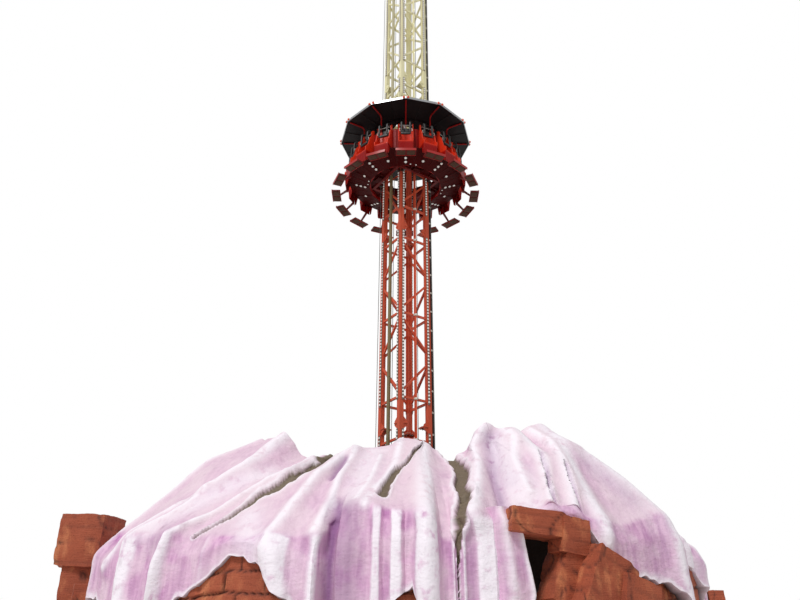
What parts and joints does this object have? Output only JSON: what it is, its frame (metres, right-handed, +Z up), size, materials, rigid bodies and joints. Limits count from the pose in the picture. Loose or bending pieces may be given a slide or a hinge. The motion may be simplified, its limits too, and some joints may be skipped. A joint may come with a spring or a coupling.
{
  "type": "drop tower ride",
  "caption": "lattice tower ride with a ring of outward-facing seats under a round canopy that travels up and down the tower above a hollow lava-covered rock station",
  "frame": {"origin": "on the tower's axis at the underside of its base plates, level with the ground", "axes": "+Z up along the tower, -Y towards the front, +X to the right seen from the front"},
  "size_m": [17.4161, 13.1067, 29.3638],
  "materials": {
    "tower_red": "satin",
    "tower_cream": "satin",
    "duct_brown": "satin",
    "dark_steel": "satin",
    "rope_steel": "satin",
    "concrete": "matte",
    "lava_pink": "matte",
    "rock_red": "matte",
    "gondola_red": "gloss",
    "underside_red": "gloss",
    "seat_red": "gloss",
    "footrest_dark": "satin",
    "canopy_black": "gloss",
    "rim_silver": "satin",
    "restraint_black": "matte"
  },
  "bodies": {
    "structure": {"base_frame": "tower_red", "legs_1": "tower_red", "legs_2": "tower_red", "legs_3": "tower_cream", "legs_4": "tower_cream", "side_right_front": "tower_red", "side_left_front": "tower_red", "side_left_back": "tower_red", "side_right_back": "tower_red", "cable_duct": "duct_brown", "air_pipe": "tower_red", "brake_rail": "dark_steel", "hoist_ropes": "rope_steel", "head_frame": "tower_cream", "head_sheaves": "rope_steel", "station_floor": "concrete", "lava_front": "lava_pink", "lava_cave": "lava_pink", "lava_right_front": "lava_pink", "lava_right_back": "lava_pink", "lava_back": "lava_pink", "lava_left_back": "lava_pink", "lava_left_front": "lava_pink", "wall_front": "rock_red", "wall_right_front": "rock_red", "wall_right": "rock_red", "wall_back": "rock_red", "wall_left": "rock_red", "wall_left_front": "rock_red", "cave_rock": "rock_red", "buttress_rock": "rock_red", "left_rocks": "rock_red", "right_rock": "rock_red"},
    "gondola": {"carriage_frame": "tower_cream", "carriage_rollers": "dark_steel", "radial_frame": "gondola_red", "back_drum": "gondola_red", "underside_panels": "underside_red", "seats_front": "seat_red", "seats_back": "seat_red", "footrests": "footrest_dark", "canopy_roof": "canopy_black", "canopy_arms": "gondola_red", "canopy_rim": "rim_silver"},
    "restraint_01": {"restraint_01": "restraint_black"},
    "restraint_02": {"restraint_02": "restraint_black"},
    "restraint_03": {"restraint_03": "restraint_black"},
    "restraint_04": {"restraint_04": "restraint_black"},
    "restraint_05": {"restraint_05": "restraint_black"},
    "restraint_06": {"restraint_06": "restraint_black"},
    "restraint_07": {"restraint_07": "restraint_black"},
    "restraint_08": {"restraint_08": "restraint_black"},
    "restraint_09": {"restraint_09": "restraint_black"},
    "restraint_10": {"restraint_10": "restraint_black"},
    "restraint_11": {"restraint_11": "restraint_black"},
    "restraint_12": {"restraint_12": "restraint_black"},
    "restraint_13": {"restraint_13": "restraint_black"},
    "restraint_14": {"restraint_14": "restraint_black"},
    "restraint_15": {"restraint_15": "restraint_black"},
    "restraint_16": {"restraint_16": "restraint_black"}
  },
  "joints": [
    {"name": "gondola_travel", "type": "slide", "parent": "structure", "child": "gondola", "axis": [0, 0, 1], "range_m": [-15.85, 7]},
    {"name": "restraint_01_lift", "type": "hinge", "parent": "gondola", "child": "restraint_01", "pos_m": [0, -1.855, 18.04], "axis": [-1, 0, 0], "range_deg": [0, 75]},
    {"name": "restraint_02_lift", "type": "hinge", "parent": "gondola", "child": "restraint_02", "pos_m": [0.70988, -1.7138, 18.04], "axis": [-0.9239, -0.3827, 0], "range_deg": [0, 75]},
    {"name": "restraint_03_lift", "type": "hinge", "parent": "gondola", "child": "restraint_03", "pos_m": [1.31168, -1.31168, 18.04], "axis": [-0.7071, -0.7071, 0], "range_deg": [0, 75]},
    {"name": "restraint_04_lift", "type": "hinge", "parent": "gondola", "child": "restraint_04", "pos_m": [1.7138, -0.70988, 18.04], "axis": [-0.3827, -0.9239, 0], "range_deg": [0, 75]},
    {"name": "restraint_05_lift", "type": "hinge", "parent": "gondola", "child": "restraint_05", "pos_m": [1.855, 0, 18.04], "axis": [0, -1, 0], "range_deg": [0, 75]},
    {"name": "restraint_06_lift", "type": "hinge", "parent": "gondola", "child": "restraint_06", "pos_m": [1.7138, 0.70988, 18.04], "axis": [0.3827, -0.9239, 0], "range_deg": [0, 75]},
    {"name": "restraint_07_lift", "type": "hinge", "parent": "gondola", "child": "restraint_07", "pos_m": [1.31168, 1.31168, 18.04], "axis": [0.7071, -0.7071, 0], "range_deg": [0, 75]},
    {"name": "restraint_08_lift", "type": "hinge", "parent": "gondola", "child": "restraint_08", "pos_m": [0.70988, 1.7138, 18.04], "axis": [0.9239, -0.3827, 0], "range_deg": [0, 75]},
    {"name": "restraint_09_lift", "type": "hinge", "parent": "gondola", "child": "restraint_09", "pos_m": [0, 1.855, 18.04], "axis": [1, 0, 0], "range_deg": [0, 75]},
    {"name": "restraint_10_lift", "type": "hinge", "parent": "gondola", "child": "restraint_10", "pos_m": [-0.70988, 1.7138, 18.04], "axis": [0.9239, 0.3827, 0], "range_deg": [0, 75]},
    {"name": "restraint_11_lift", "type": "hinge", "parent": "gondola", "child": "restraint_11", "pos_m": [-1.31168, 1.31168, 18.04], "axis": [0.7071, 0.7071, 0], "range_deg": [0, 75]},
    {"name": "restraint_12_lift", "type": "hinge", "parent": "gondola", "child": "restraint_12", "pos_m": [-1.7138, 0.70988, 18.04], "axis": [0.3827, 0.9239, 0], "range_deg": [0, 75]},
    {"name": "restraint_13_lift", "type": "hinge", "parent": "gondola", "child": "restraint_13", "pos_m": [-1.855, 0, 18.04], "axis": [0, 1, 0], "range_deg": [0, 75]},
    {"name": "restraint_14_lift", "type": "hinge", "parent": "gondola", "child": "restraint_14", "pos_m": [-1.7138, -0.70988, 18.04], "axis": [-0.3827, 0.9239, 0], "range_deg": [0, 75]},
    {"name": "restraint_15_lift", "type": "hinge", "parent": "gondola", "child": "restraint_15", "pos_m": [-1.31168, -1.31168, 18.04], "axis": [-0.7071, 0.7071, 0], "range_deg": [0, 75]},
    {"name": "restraint_16_lift", "type": "hinge", "parent": "gondola", "child": "restraint_16", "pos_m": [-0.70988, -1.7138, 18.04], "axis": [-0.9239, 0.3827, 0], "range_deg": [0, 75]}
  ],
  "couplings": [
    {"joint": "restraint_02_lift", "follows": "restraint_01_lift", "ratio": 1},
    {"joint": "restraint_03_lift", "follows": "restraint_01_lift", "ratio": 1},
    {"joint": "restraint_04_lift", "follows": "restraint_01_lift", "ratio": 1},
    {"joint": "restraint_05_lift", "follows": "restraint_01_lift", "ratio": 1},
    {"joint": "restraint_06_lift", "follows": "restraint_01_lift", "ratio": 1},
    {"joint": "restraint_07_lift", "follows": "restraint_01_lift", "ratio": 1},
    {"joint": "restraint_08_lift", "follows": "restraint_01_lift", "ratio": 1},
    {"joint": "restraint_09_lift", "follows": "restraint_01_lift", "ratio": 1},
    {"joint": "restraint_10_lift", "follows": "restraint_01_lift", "ratio": 1},
    {"joint": "restraint_11_lift", "follows": "restraint_01_lift", "ratio": 1},
    {"joint": "restraint_12_lift", "follows": "restraint_01_lift", "ratio": 1},
    {"joint": "restraint_13_lift", "follows": "restraint_01_lift", "ratio": 1},
    {"joint": "restraint_14_lift", "follows": "restraint_01_lift", "ratio": 1},
    {"joint": "restraint_15_lift", "follows": "restraint_01_lift", "ratio": 1},
    {"joint": "restraint_16_lift", "follows": "restraint_01_lift", "ratio": 1}
  ]
}
